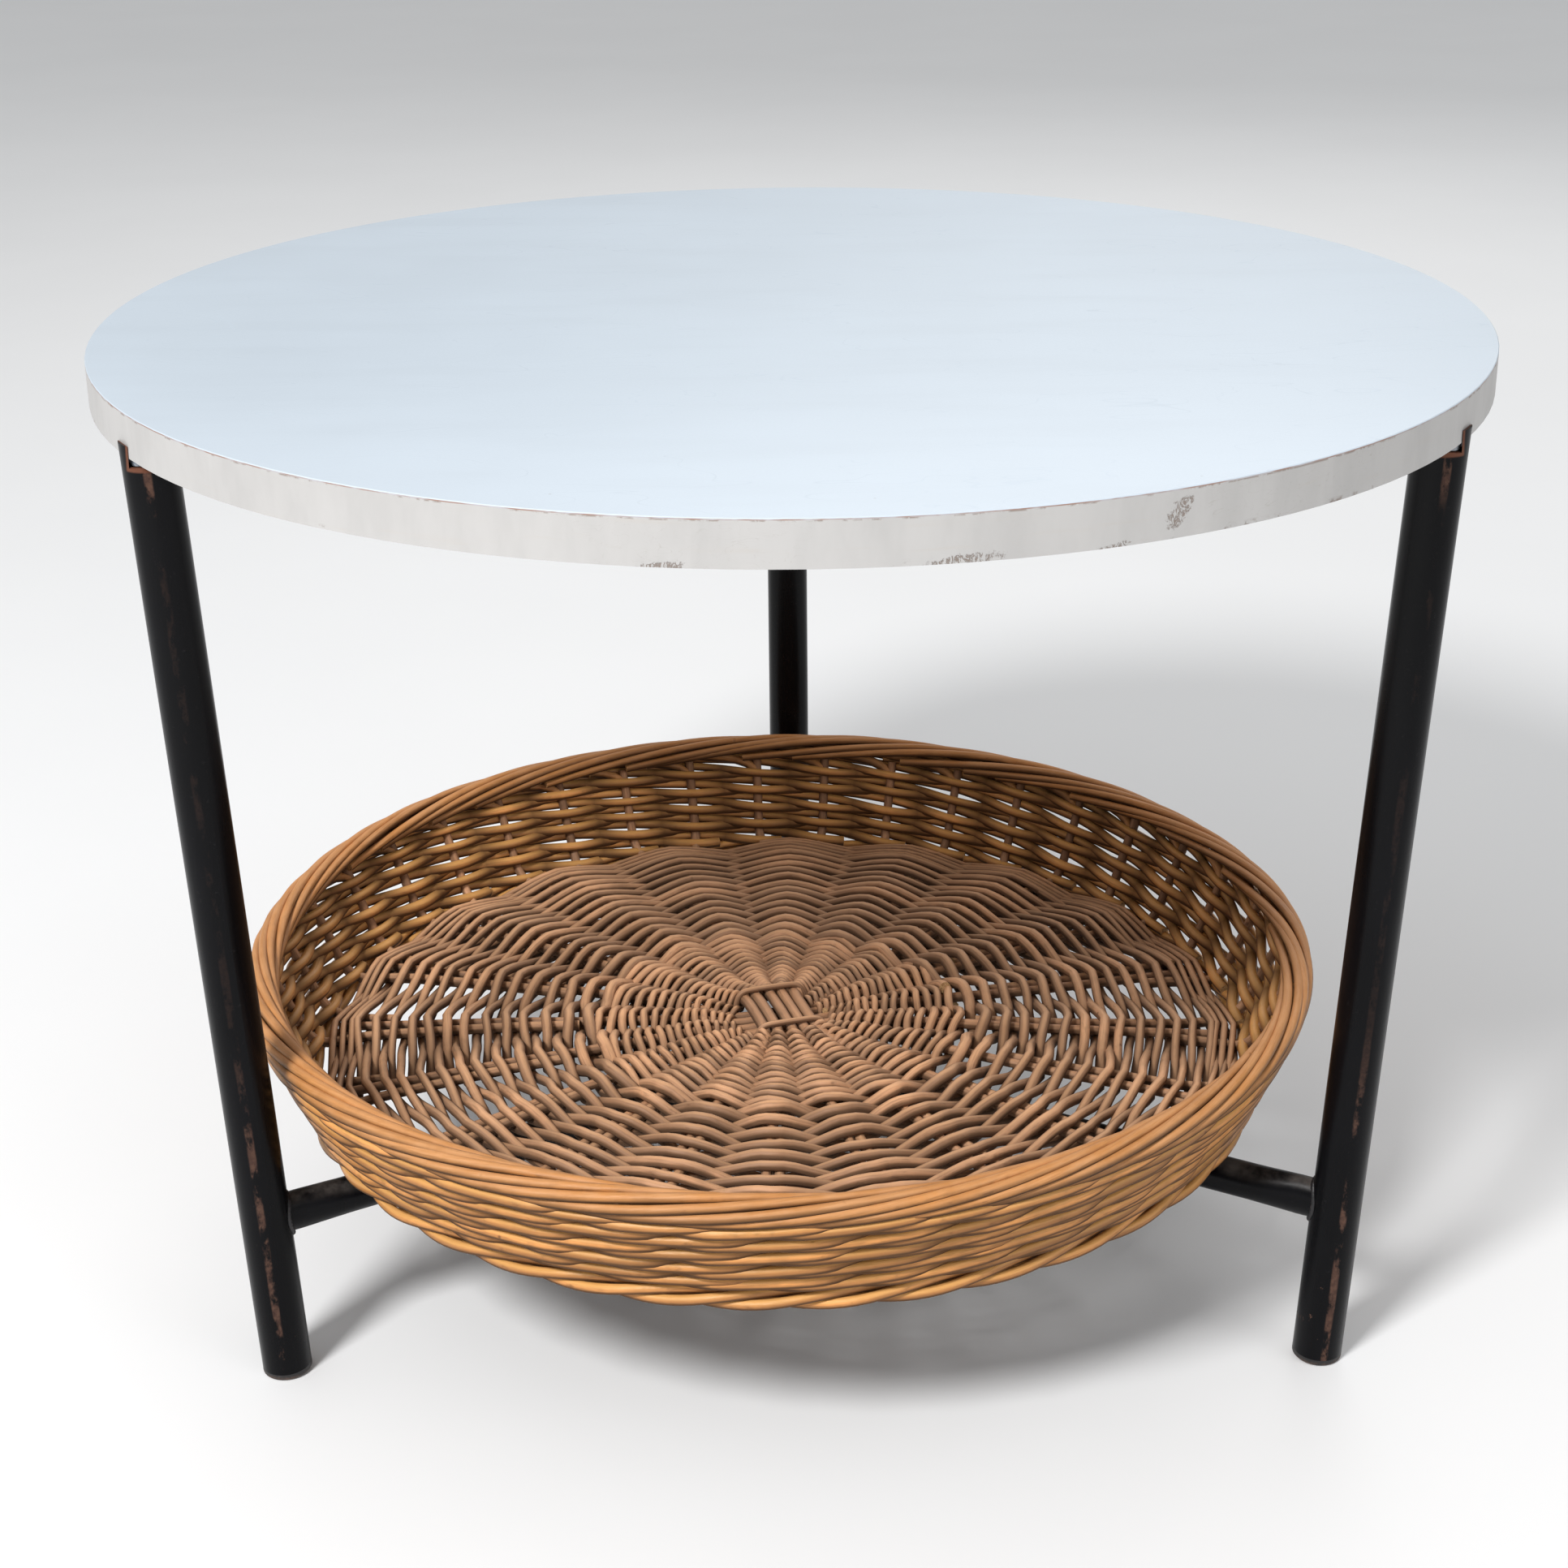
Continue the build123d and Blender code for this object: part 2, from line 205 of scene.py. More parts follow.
class Finish:
    """A material whose nodes are made by plain expressions."""

    def __init__(self, name):
        self.material = bpy.data.materials.new(name)
        self.material.use_nodes = True
        self.tree = self.material.node_tree
        self.tree.nodes.clear()

    def node(self, kind, settings=None, values=None, output=0):
        """Adds a node: its settings first, then the values or links of its sockets."""
        node = self.tree.nodes.new(kind)
        for key, setting in (settings or {}).items():
            setattr(node, key, setting)
        for key, value in (values or {}).items():
            socket = self.socket(node.inputs, key)
            if isinstance(value, Link):
                self.tree.links.new(value.socket, socket)
            else:
                socket.default_value = value
        return Link(self, self.socket(node.outputs, output))

    @staticmethod
    def socket(sockets, key):
        if isinstance(key, int):
            return sockets[key]
        return next(s for s in sockets if key in (s.identifier, s.name))

    def place(self):
        return self.node("ShaderNodeTexCoord", output="Object")

    def attribute(self, name, output="Fac"):
        return self.node("ShaderNodeAttribute", {"attribute_name": name}, output=output)

    def split(self, vector):
        """The three numbers of a vector."""
        node = self.node("ShaderNodeSeparateXYZ", values={0: vector}).socket.node
        return [Link(self, socket) for socket in node.outputs]

    def vector(self, operation, first, second):
        return self.node("ShaderNodeVectorMath", {"operation": operation}, {0: first, 1: second})

    def length(self, x, y):
        """The root of x squared + y squared."""
        return (x * x + y * y) ** 0.5

    def facing(self):
        """The three numbers of the direction in which the surface faces."""
        return self.split(self.node("ShaderNodeNewGeometry", output="Normal"))

    def clamp(self, value):
        """The value, held between 0 and 1."""
        return self.node("ShaderNodeClamp", values={0: value})

    def lines(self, vector, scale, width, sharp=0.0, **noise):
        """Thin wandering lines: 1 where a noise is within sharp of its middle, 0 past width."""
        return self.step(abs(self.noise(vector, scale, **noise) - 0.5), width, sharp)

    def noise(self, vector, scale, detail=3.0, roughness=0.5, stretch=None, distortion=0.0):
        """Soft random clouds of about 1/scale metres, drawn out along the axes by stretch."""
        if stretch:
            vector = self.vector("MULTIPLY", vector, stretch)
        values = {"Vector": vector, "Scale": scale, "Detail": detail, "Roughness": roughness,
                  "Distortion": distortion}
        return self.node("ShaderNodeTexNoise", values=values)

    def cells(self, vector, scale, feature="F1", output="Distance"):
        return self.node("ShaderNodeTexVoronoi", {"feature": feature},
                         {"Vector": vector, "Scale": scale}, output)

    def step(self, value, low, high, start=0.0, end=1.0):
        """A smooth change from start to end as value goes from low to high."""
        return self.node("ShaderNodeMapRange", {"interpolation_type": "SMOOTHSTEP"},
                         {0: value, 1: low, 2: high, 3: start, 4: end})

    def mix(self, share, first, second, blend="MIX"):
        """The first colour, and the second where share is 1."""
        first, second = (
            (*colour, 1) if not isinstance(colour, Link) and len(colour) == 3 else colour
            for colour in (first, second)
        )
        return self.node(
            "ShaderNodeMix", {"data_type": "RGBA", "blend_type": blend},
            {"Factor_Float": share, "A_Color": first, "B_Color": second}, "Result_Color",
        )

    def bump(self, height, distance, strength=1.0):
        return self.node("ShaderNodeBump", values={
            "Height": height, "Distance": distance, "Strength": strength})

    def surface(self, **values):
        """The shader, with sockets named by words joined with underscores, and the output."""
        named = {}
        for key, value in values.items():
            key = key.replace("_", " ").title().replace("Ior", "IOR")
            if "Color" in key and not isinstance(value, Link) and len(value) == 3:
                value = (*value, 1)
            named[key] = value
        shader = self.node("ShaderNodeBsdfPrincipled", values=named)
        output = self.tree.nodes.new("ShaderNodeOutputMaterial")
        self.tree.links.new(shader.socket, output.inputs["Surface"])
        return self.material


def shade(colour, times):
    """A colour made lighter or darker."""
    return tuple(min(1.0, part * times) for part in tuple(colour)[:3])


# ---- finishes --------------------------------------------------------------------------
def laminate_finish(colours):
    """Pale sheet with faint clouds, fine print, small marks and a brown core at its edge. A
    painted reflection lightens its front.
    """
    f = Finish("laminate")
    at = f.place()
    x, y, z = f.split(at)
    clouds = f.noise(at, 5, 4, 0.6)
    streaks = f.noise(at, 7, 3, 0.6, stretch=(1, 5, 1))
    print_grain = f.noise(at, 900, 2, 0.6)
    colour = f.mix(f.step(clouds, 0.35, 0.68), colours.laminate, shade(colours.laminate, 1.05))
    colour = f.mix(f.step(streaks, 0.45, 0.75) * 0.35, colour, shade(colours.laminate, 0.93))
    colour = f.mix(f.step(print_grain, 0.3, 0.8) * 0.25, colour, shade(colours.laminate, 0.9))
    # painted reflection: the top grows paler towards its front edge
    front = f.step(y, -0.05, -TOP_RADIUS * MM)
    colour = f.mix(front * 0.25, colour, paint(218, 227, 236))
    specks = f.step(f.cells(at, 42), 0.035, 0.0) * f.step(f.noise(at, 9), 0.52, 0.6)
    colour = f.mix(specks * 0.5, colour, paint(150, 152, 155))
    scratch = f.lines(at, 26, 0.004, detail=2, stretch=(0.35, 1, 1), distortion=1.2)
    colour = f.mix(scratch * f.step(clouds, 0.5, 0.62) * 0.22, colour, paint(176, 184, 192))
    # the sheet's brown core shows at its lower outer edge
    core = f.step(z, 0.44972, 0.44962) * f.step(f.length(x, y), 0.2985, 0.2993)
    worn = f.step(f.noise(at, 60, 3, 0.6), 0.38, 0.6)
    colour = f.mix(core * (0.45 + 0.5 * worn), colour, paint(150, 118, 104))
    rough = 0.3 + 0.14 * clouds + 0.12 * scratch + 0.1 * core
    return f.surface(
        base_color=colour, roughness=rough, specular_ior_level=0.42,
        normal=f.bump(f.noise(at, 420, 2, 0.5), 0.00004, 0.6),
    )


def band_finish(colours):
    """Old plastic strip: light grey, scuffed, with chips that show the brown board."""
    f = Finish("edge_band")
    at = f.place()
    x, y, z = f.split(at)
    scuffs = f.noise(at, 38, 4, 0.65, stretch=(1, 1, 0.35))
    streaks = f.noise(at, 90, 3, 0.6, stretch=(0.25, 0.25, 3))
    colour = f.mix(f.step(scuffs, 0.35, 0.7), shade(colours.band, 1.03), shade(colours.band, 0.93))
    colour = f.mix(f.step(streaks, 0.55, 0.8) * 0.3, colour, paint(180, 172, 163))
    low_edge = f.step(z, TOP_LOW.z * MM + 0.0022, TOP_LOW.z * MM)
    high_edge = f.step(z, TOP_HIGH.z * MM - 0.0009, TOP_HIGH.z * MM)
    ragged = f.noise(at, 130, 4, 0.7)
    wide = f.noise(at, 11, 2, 0.5)
    edge_wear = low_edge * f.step(ragged + wide * 0.7, 0.98, 1.08)
    edge_wear = edge_wear + high_edge * f.step(ragged + wide * 0.4, 0.7, 0.82)
    # worn places at the front, each a ragged, leaning oval: its middle along x, its half width,
    # its middle and half height along z
    front = f.step(y, -0.15, -0.2)
    torn = f.noise(at, 210, 5, 0.75)
    cracks = f.lines(at, 380, 0.07, 0.02, detail=4, roughness=0.7, stretch=(1, 1, 0.6),
                     distortion=1.5)
    for middle, half, level, tall in (
        (0.131, 0.0040, 0.4420, 0.0060), (-0.048, 0.009, 0.4322, 0.0022),
        (0.052, 0.011, 0.4324, 0.0030), (0.107, 0.005, 0.4320, 0.0018),
    ):
        up = (z - level) / tall
        across = (x - middle) / half - 0.7 * up
        worn = f.step(f.length(across, up) + (torn - 0.5) * 3.2, 0.95, 0.7) * cracks
        edge_wear = edge_wear + worn * front
    edge_wear = f.clamp(edge_wear)
    colour = f.mix(edge_wear * 0.8, colour, paint(118, 100, 88))
    fine = f.lines(at, 75, 0.006, detail=2, stretch=(1, 1, 2.5), distortion=1.5)
    colour = f.mix(fine * f.step(wide, 0.5, 0.6) * 0.35, colour, paint(150, 142, 134))
    return f.surface(
        base_color=colour, roughness=0.42 + 0.15 * scuffs + 0.2 * edge_wear,
        normal=f.bump(ragged * 0.3 - edge_wear, 0.0004, 0.6),
    )


def chipboard_finish():
    """Pressed wood chips of mixed browns."""
    f = Finish("chipboard")
    at = f.place()
    chips = f.cells(at, 260, output="Color")
    tone = f.node("ShaderNodeSeparateColor", values={0: chips})
    colour = f.mix(tone, paint(150, 118, 82), paint(196, 166, 122))
    colour = f.mix(f.step(f.noise(at, 120, 4), 0.45, 0.75), colour, paint(110, 80, 52))
    return f.surface(base_color=colour, roughness=0.85,
                     normal=f.bump(f.cells(at, 260), 0.0006, 0.7))


def backing_finish():
    """Brown balancing sheet with a faint cloudy stain and small fibres."""
    f = Finish("backing")
    at = f.place()
    fibres = f.noise(at, 300, 4, 0.7, stretch=(0.25, 1.6, 1))
    stain = f.noise(at, 9, 4, 0.6)
    colour = f.mix(f.step(stain, 0.35, 0.7), paint(120, 92, 70), paint(146, 116, 90))
    colour = f.mix(f.step(fibres, 0.5, 0.75) * 0.5, colour, paint(98, 74, 56))
    return f.surface(base_color=colour, roughness=0.62 + 0.15 * fibres,
                     normal=f.bump(fibres, 0.0001, 0.5))


def black_finish(name, colours, rub_and_sheen=0.0, dust=0.25, rubbed_and_sheen_side=(0.087, -0.996, 0.0)):
    """Brushed black paint with dust, small chips and raw steel in a leg's notch. On
    rubbed_and_sheen_side it has a broken stripe, partly bare metal where the paint has worn off
    and partly a painted reflection, mostly low down and near the notch."""
    f = Finish(name)
    at = f.place()
    x, y, z = f.split(at)
    nx, ny, nz = f.facing()
    runs = f.noise(at, 60, 4, 0.6, stretch=(1, 1, 0.16))
    fine = f.noise(at, 420, 3, 0.65)
    patches = f.noise(at, 34, 5, 0.68, stretch=(1, 1, 0.4))
    colour = f.mix(f.step(runs, 0.35, 0.75), colours.black, shade(colours.black, 1.9))
    colour = f.mix(f.step(fine, 0.62, 0.8) * 0.2, colour, paint(60, 57, 58))
    # the stripe faces one fixed way on every leg: it is partly worn paint and partly a painted
    # reflection
    toward = nx * rubbed_and_sheen_side[0] + ny * rubbed_and_sheen_side[1]
    worn_and_sheen_stripe = f.step(toward + (patches - 0.5) * 0.03, 0.984, 0.997)
    flakes = f.noise(at, 95, 5, 0.72, stretch=(1, 1, 0.5))
    broken = f.step(flakes + (patches - 0.5) * 0.8, 0.47, 0.6)
    low = f.step(z, 0.16, 0.02) * 0.12
    chips = f.step(f.noise(at, 150, 4, 0.75, stretch=(1, 1, 0.7)) + low, 0.78, 0.83)
    stripe_heights = f.step(z, 0.19, 0.09) + f.step(z, 0.405, 0.42)
    worn_and_sheen_stripe = worn_and_sheen_stripe * broken * f.clamp(stripe_heights + 0.12)
    bare_and_sheen = f.clamp(worn_and_sheen_stripe * rub_and_sheen + chips * (0.3 + 0.7 * rub_and_sheen))
    # colour of bare metal, also used for the painted reflection in the stripe
    metal = f.mix(f.step(fine, 0.35, 0.65), colours.bare_and_sheen, paint(78, 56, 48))
    colour = f.mix(bare_and_sheen * 0.8, colour, metal)
    settled = f.step(nz, 0.35, 0.95) * f.step(f.noise(at, 55, 4, 0.6), 0.35, 0.7)
    colour = f.mix(settled * dust, colour, paint(120, 112, 106))
    # raw steel inside the notch of a leg
    raw = f.step(f.length(x, y), 0.3010, 0.3006) * f.step(z, 0.4262, 0.4272)
    colour = f.mix(raw * f.step(patches, 0.25, 0.55), colour, paint(104, 66, 50))
    rough = 0.2 + 0.16 * runs + 0.3 * bare_and_sheen + 0.25 * settled + 0.2 * raw
    return f.surface(
        base_color=colour, roughness=rough, specular_ior_level=0.12,
        normal=f.bump(runs * 0.5 + fine * 0.12 - bare_and_sheen * 0.5, 0.00035, 0.6),
    )


def steel_finish(name, tone, blotch):
    """Dull plated steel with white bloom and fine scratches."""
    f = Finish(name)
    at = f.place()
    bloom = f.noise(at, 160, 5, 0.65)
    lines = f.noise(at, 600, 2, 0.5, stretch=(0.2, 1, 1))
    colour = f.mix(f.step(bloom, 0.4, 0.65), tone, blotch)
    return f.surface(base_color=colour, metallic=0.85 - 0.35 * f.step(bloom, 0.45, 0.7),
                     roughness=0.38 + 0.3 * bloom,
                     normal=f.bump(lines + bloom, 0.00008, 0.5))


def cap_finish():
    """Black glide worn brown at its rounded edge, with grit pressed in from the ground."""
    f = Finish("foot_cap")
    at = f.place()
    z = f.split(at)[2]
    grit = f.noise(at, 300, 4, 0.7)
    wear = f.step(z, 0.0028, 0.0004) * f.step(grit, 0.35, 0.6)
    colour = f.mix(f.step(grit, 0.45, 0.8), paint(24, 23, 24), paint(52, 46, 43))
    colour = f.mix(wear * 0.7, colour, paint(104, 82, 70))
    return f.surface(base_color=colour, roughness=0.5 + 0.3 * wear,
                     normal=f.bump(grit, 0.0003, 0.6))


def weld_finish():
    """Painted weld, speckled where its grain stands out."""
    f = Finish("weld_paint")
    at = f.place()
    grain = f.noise(at, 500, 3, 0.6)
    colour = f.mix(f.step(grain, 0.45, 0.75), paint(17, 17, 20), paint(48, 42, 42))
    return f.surface(base_color=colour, roughness=0.38 + 0.2 * grain,
                     normal=f.bump(grain, 0.0003, 0.5))


def willow_finish(name, main, dusty=0.5, gloss=0.42, lying=True, dust=(196, 158, 128)):
    """Buff willow. The rod's own straight coordinates carry its grain, its tone sets its shade,
    dust lies on what faces up and the cut ends are pale. A painted highlight lightens the top of
    each rod, and painted shade darkens where rods touch: the flanks of rods that lie flat, the
    undersides of others, and wherever a rod runs deep."""
    f = Finish(name)
    straight = f.attribute("straight", "Vector")
    tone = f.attribute("tone")
    tip = f.attribute("cut")
    at = f.place()
    nz = f.facing()[2]
    dark_bark = paint(86, 52, 28)
    grain = f.noise(straight, 1100, 3, 0.6, stretch=(0.06, 1, 1))
    bands = f.noise(straight, 42, 3, 0.55, stretch=(1, 0.3, 0.3))
    blots = f.noise(straight, 300, 4, 0.6, stretch=(0.35, 1, 1))
    knots = f.step(f.cells(straight, 58), 0.075, 0.02)
    patch = f.noise(at, 14, 3, 0.55)
    colour = f.mix(f.step(tone, 0.0, 1.0), shade(main, 0.48), shade(main, 1.4))
    colour = f.mix(f.step(bands, 0.35, 0.68) * 0.65, colour, shade(main, 0.5))
    colour = f.mix(f.step(grain, 0.42, 0.7) * 0.6, colour, shade(main, 0.45))
    colour = f.mix(f.step(blots, 0.56, 0.74) * 0.5, colour, dark_bark)
    colour = f.mix(f.step(patch, 0.45, 0.68) * 0.5, colour, shade(main, 0.55))
    colour = f.mix(knots * 0.7, colour, dark_bark)
    settled = f.step(nz, 0.1, 0.95) * f.step(f.noise(at, 45, 4, 0.6), 0.25, 0.65)
    settled = settled * (0.5 + 0.5 * f.step(grain, 0.6, 0.4))
    colour = f.mix(settled * dusty, colour, paint(*dust))
    # painted highlight: the upper side of each rod is lightened
    painted_highlight = f.step(nz, 0.75, 1.0) if lying else f.step(nz, 0.15, 0.85)
    colour = f.mix(painted_highlight * (0.4 if lying else 0.55), colour, shade(main, 1.8))
    # painted shade: the flanks of lying rods, the undersides of the others and the deep parts of
    # every rod are darkened and made rougher
    painted_flank_shade = f.step(nz, 0.7, 0.1) if lying else f.step(nz, 0.28, -0.5)
    painted_crevice_shade = painted_flank_shade * (0.68 if lying else 0.95) + f.attribute("deep") * (0.6 if lying else 0.85)
    painted_crevice_shade = f.clamp(painted_crevice_shade)
    colour = f.mix(painted_crevice_shade, colour, shade(main, 0.14))
    fresh = f.mix(f.step(grain, 0.4, 0.7), paint(206, 168, 118), paint(140, 100, 62))
    colour = f.mix(tip * 0.8, colour, fresh)
    rough = gloss + 0.22 * grain + 0.3 * dusty * settled + 0.45 * painted_crevice_shade
    return f.surface(
        base_color=colour, roughness=rough, specular_ior_level=0.36,
        normal=f.bump(grain * 0.6 + blots * 0.4 - knots * 0.5, 0.0005, 0.9),
    )


# ---- rods ------------------------------------------------------------------------------
def unit(vectors):
    """Vectors divided by their own lengths."""
    return vectors / np.maximum(np.linalg.norm(vectors, axis=-1, keepdims=True), 1e-9)


def rod_surface(path, radius, facing, sides):
    """A round rod along a path. At each point a circle stands square to the path's direction:
    point + radius * (cos(turn) * aside + sin(turn) * outward), where outward is the part of
    facing that is square to the path. Both ends are closed with a flat face. The straight
    coordinates are the way travelled along the rod and the circle's two numbers."""
    along = unit(np.gradient(path, axis=0))
    aside = unit(np.cross(np.broadcast_to(facing, path.shape), along))
    outward = np.cross(along, aside)
    turn = np.arange(sides) * 2 * math.pi / sides
    cosine, sine = np.cos(turn), np.sin(turn)
    spread = cosine[None, :, None] * aside[:, None] + sine[None, :, None] * outward[:, None]
    points = path[:, None] + radius[:, None, None] * spread
    travelled = np.append(0, np.cumsum(np.linalg.norm(np.diff(path, axis=0), axis=1)))
    straight = np.stack(
        np.broadcast_arrays(
            travelled[:, None], radius[:, None] * cosine, radius[:, None] * sine), -1)
    row, column = np.mgrid[: len(path) - 1, :sides]
    after = (column + 1) % sides
    quads = np.stack(
        [row * sides + column, row * sides + after, (row + 1) * sides + after,
         (row + 1) * sides + column], -1,
    ).reshape(-1, 4)
    ends = np.stack([np.arange(sides)[::-1], (len(path) - 1) * sides + np.arange(sides)])
    return points.reshape(-1, 3), straight.reshape(-1, 3), quads, ends


def with_end_rings(path, radius, facing, depth=0.0):
    """A rod with one more point a fifth of a millimetre inside each end, so that the colour of a
    cut stays on the cut. Each point's radius, facing and depth in the weave are repeated there."""
    path = np.asarray(path, float)
    facing = np.broadcast_to(np.asarray(facing, float), path.shape)
    radius, depth = (
        np.broadcast_to(np.asarray(each, float), path.shape[:1]) for each in (radius, depth))
    first = path[0] + 0.2 * unit(path[1] - path[0])
    last = path[-1] + 0.2 * unit(path[-2] - path[-1])
    path = np.concatenate([path[:1], first[None], path[1:-1], last[None], path[-1:]])
    order = np.r_[0, 0, 1 : len(radius) - 1, len(radius) - 1, len(radius) - 1]
    return path, radius[order], facing[order], depth[order]


def rod_piece(name, rods, body, material, seed, sides=8, cut_ends=True):
    """One mesh of many rods, each a path in millimetres with its radius, its facing and, if it
    has one, its depth. Each rod gets a random tone, its own stretch of grain and pale ends."""
    chance = np.random.default_rng(seed)
    points, straight, tones, cuts, deeps, quads, ends = [], [], [], [], [], [], []
    start = 0
    for path, radius, facing, *depth in rods:
        path, radius, facing, depth = with_end_rings(path, radius, facing, *depth)
        p, s, q, e = rod_surface(path, radius, facing, sides)
        points.append(p)
        deeps.append(np.repeat(depth, sides))
        straight.append(s + np.array([chance.uniform(0, 4000), 0, 0]))
        tones.append(np.full(len(p), chance.uniform(0, 1)))
        mark = np.zeros(len(p))
        if cut_ends:
            mark[:sides] = mark[-sides:] = 1
        cuts.append(mark)
        quads.append(q + start)
        ends.append(e + start)
        start += len(p)
    points, straight = np.concatenate(points) * MM, np.concatenate(straight) * MM
    quads, ends = np.concatenate(quads), np.concatenate(ends)
    mesh = bpy.data.meshes.new(name)
    mesh.vertices.add(len(points))
    mesh.vertices.foreach_set("co", points.ravel())
    corners = np.concatenate([quads.ravel(), ends.ravel()]).astype(np.int32)
    counts = np.concatenate([np.full(len(quads), 4), np.full(len(ends), sides)])
    mesh.loops.add(len(corners))
    mesh.loops.foreach_set("vertex_index", corners)
    mesh.polygons.add(len(counts))
    mesh.polygons.foreach_set("loop_start", (np.cumsum(counts) - counts).astype(np.int32))
    smooth = np.concatenate([np.ones(len(quads), bool), np.zeros(len(ends), bool)])
    mesh.polygons.foreach_set("use_smooth", smooth)
    mesh.update(calc_edges=True)
    # deep holds how deep each point lies in the weave, which the finish turns into painted shade
    for label, kind, values in (
        ("straight", "FLOAT_VECTOR", straight), ("tone", "FLOAT", np.concatenate(tones)),
        ("cut", "FLOAT", np.concatenate(cuts)), ("deep", "FLOAT", np.concatenate(deeps)),
    ):
        layer = mesh.attributes.new(label, kind, "POINT")
        layer.data.foreach_set("vector" if kind == "FLOAT_VECTOR" else "value",
                               values.astype(np.float32).ravel())
    if mesh.validate():
        raise RuntimeError(f"{name}: the mesh had faults")
    mesh.materials.append(material)
    piece = bpy.data.objects.new(name, mesh)
    bpy.context.scene.collection.objects.link(piece)
    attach(piece, body)
    return piece


def polar(radius, angle, height):
    """Points about the tray's axis, in millimetres."""
    radius, angle, height = np.broadcast_arrays(radius, angle, height)
    x = TRAY_MIDDLE.x + radius * np.cos(angle)
    y = TRAY_MIDDLE.y + radius * np.sin(angle)
    return np.stack([x, y, height], -1)


def softened(path, times):
    """A path whose corners are rounded: each inner point moves to the average of its neighbours
    and itself, several times over."""
    path = np.array(path, float)
    for _ in range(times):
        path[1:-1] = (path[:-2] + 2 * path[1:-1] + path[2:]) / 4
    return path


def resampled(corners, spacing):
    """Evenly spaced points on the straight runs between corners."""
    corners = np.asarray(corners, float)
    reach = np.append(0, np.cumsum(np.linalg.norm(np.diff(corners, axis=0), axis=1)))
    at = np.linspace(0, reach[-1], max(4, int(reach[-1] / spacing)))
    return np.stack([np.interp(at, reach, corners[:, axis]) for axis in range(3)], -1)


def wave(phase):
    """A rounded triangle wave from -1 to 1: the folded angle, 1.3 times as large, divided by the
    sixth root of 1 + its sixth power, and by that at the peak, 0.969."""
    folded = 1.3 * np.arcsin(np.clip(np.cos(phase), -1, 1)) * 2 / math.pi
    return folded / (1 + np.abs(folded) ** 6) ** (1 / 6) / 0.969


def fade(value, start, end):
    """1 before start, 0 after end, smooth between."""
    share = np.clip((np.asarray(value, float) - start) / (end - start), 0, 1)
    return 1 - share * share * (3 - 2 * share)


def ripple(angle, radius, seed):
    """A small smooth unevenness that neighbouring rows share: a sum of three slow sine waves of
    the angle, whose starts turn with the radius."""
    chance = np.random.default_rng(seed)
    a, b, c = chance.uniform(0, 6.28, 3)
    return (
        np.sin(3 * angle + radius / 31 + a) + 0.7 * np.sin(7 * angle - radius / 23 + b)
        + 0.5 * np.sin(2 * angle + radius / 13 + c)
    ) / 2.2


def base_height(radius, angle=None):
    """Height of the sticks' middle: a low cone, with the two bundles of the cross on their own
    levels near the middle, where the angle tells the upper bundle from the lower."""
    height = BASE_MIDDLE + CROWN * (1 - radius / BASE_RADIUS)
    if angle is not None:
        lobes = -np.tanh(3 * np.cos(2 * (angle - CROSS_TURN)))
        height = height + LAYER * fade(radius, *LAYER_ENDS) * lobes
    return height


# ---- the tray's rods -------------------------------------------------------------------
def stick_rods(sizes):
    """Base sticks: five side by side each way in the middle, fanned out to even spokes."""
    rods = []
    chance = np.random.default_rng(11)
    thick = sizes.stick_diameter * HALF_MM
    for bundle in range(2):
        turn = CROSS_TURN + bundle * math.pi / 2
        for index in range(-2, 3):
            # three and two: a narrow space splits each bundle
            aside = index * CROSS_SPACING + (0.9 if index > 0 else -0.5)
            ends = []
            for way in (0, 1):
                spoke = turn + (math.pi - index * SPOKE_STEP if way else index * SPOKE_STEP)
                out = np.array([CROSS_HALF, 62, 95, 125, 160, BASE_RADIUS - 4])
                # the stick gives way to the stake that lies beside it
                beside = 2.7 * (1 - fade(out, 80, 130))
                route = np.stack(
                    [out * np.cos(spoke) + beside * np.sin(spoke),
                     out * np.sin(spoke) - beside * np.cos(spoke)], -1)
                reach = CROSS_HALF * (-1 if way else 1)
                first = np.array([[reach * math.cos(turn) - aside * math.sin(turn),
                                   reach * math.sin(turn) + aside * math.cos(turn)]])
                ends.append(np.concatenate([first, route[1:]]))
            flat = np.concatenate([ends[0][::-1], ends[1]])
            flat = softened(resampled(np.pad(flat, ((0, 0), (0, 1))), 4), 6)
            radius = np.hypot(flat[:, 0], flat[:, 1])
            level = LAYER * (1 if bundle else -1) * fade(radius, *LAYER_ENDS)
            height = base_height(radius) + level
            path = np.stack([flat[:, 0] + TRAY_MIDDLE.x, flat[:, 1] + TRAY_MIDDLE.y, height], -1)
            size = thick * chance.uniform(0.94, 1.05) * (0.84 + 0.16 * fade(radius, 40, 130))
            rods.append((path, size, (0, 0, 1)))
    return rods


def tie_rods(sizes):
    """A square loop that binds the cross, over the upper bundle and under the lower. It is a
    rounded square: half its side / (|cos|^12 + |sin|^12)^(1/12)."""
    thick = sizes.tie_diameter * HALF_MM
    high = LAYER + sizes.stick_diameter * HALF_MM + thick
    angle = np.linspace(0.9, 0.9 + 2 * math.pi + 0.03, 160)
    own = angle - CROSS_TURN
    radius = LOOP_HALF / (np.abs(np.cos(own)) ** 12 + np.abs(np.sin(own)) ** 12) ** (1 / 12)
    height = base_height(radius) - high * np.tanh(5 * np.cos(2 * own))
    return [(polar(radius, angle, height), thick, (0, 0, 1))]


